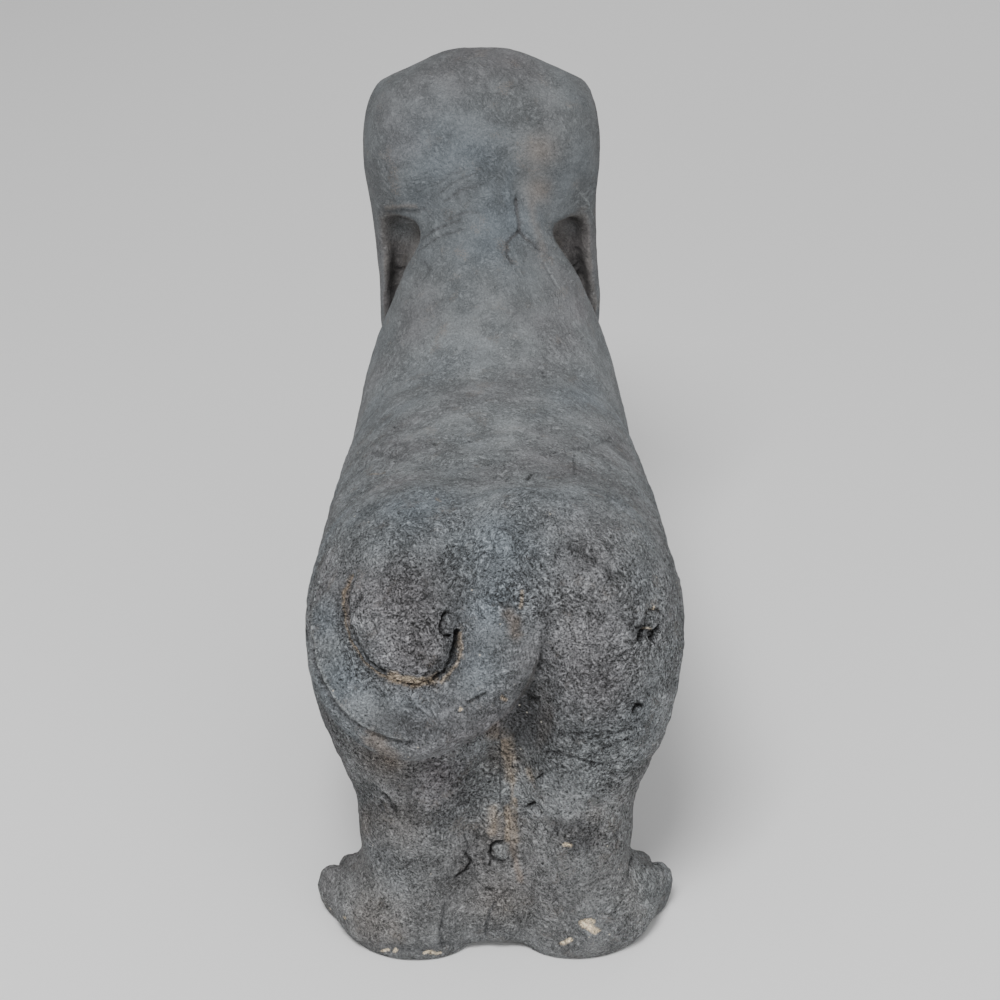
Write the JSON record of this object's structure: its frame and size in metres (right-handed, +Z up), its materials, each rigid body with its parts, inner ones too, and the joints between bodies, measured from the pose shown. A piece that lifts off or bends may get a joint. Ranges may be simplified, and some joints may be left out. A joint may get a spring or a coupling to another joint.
{
  "type": "dog statue",
  "caption": "Standing dachshund garden statue, cast in one piece with a brushed coat, hanging ears and a tail curled round the left haunch.",
  "frame": {"origin": "on the ground, under the middle of the statue's outline", "axes": "+Y the way the dog looks, +X to the dog's right, +Z up"},
  "size_m": [0.1706, 0.4908, 0.33],
  "materials": {
    "cast_stone": "matt, rough and brushed, like weathered dark grey stone"
  },
  "bodies": {
    "root": {"dog": "cast_stone"}
  },
  "joints": []
}
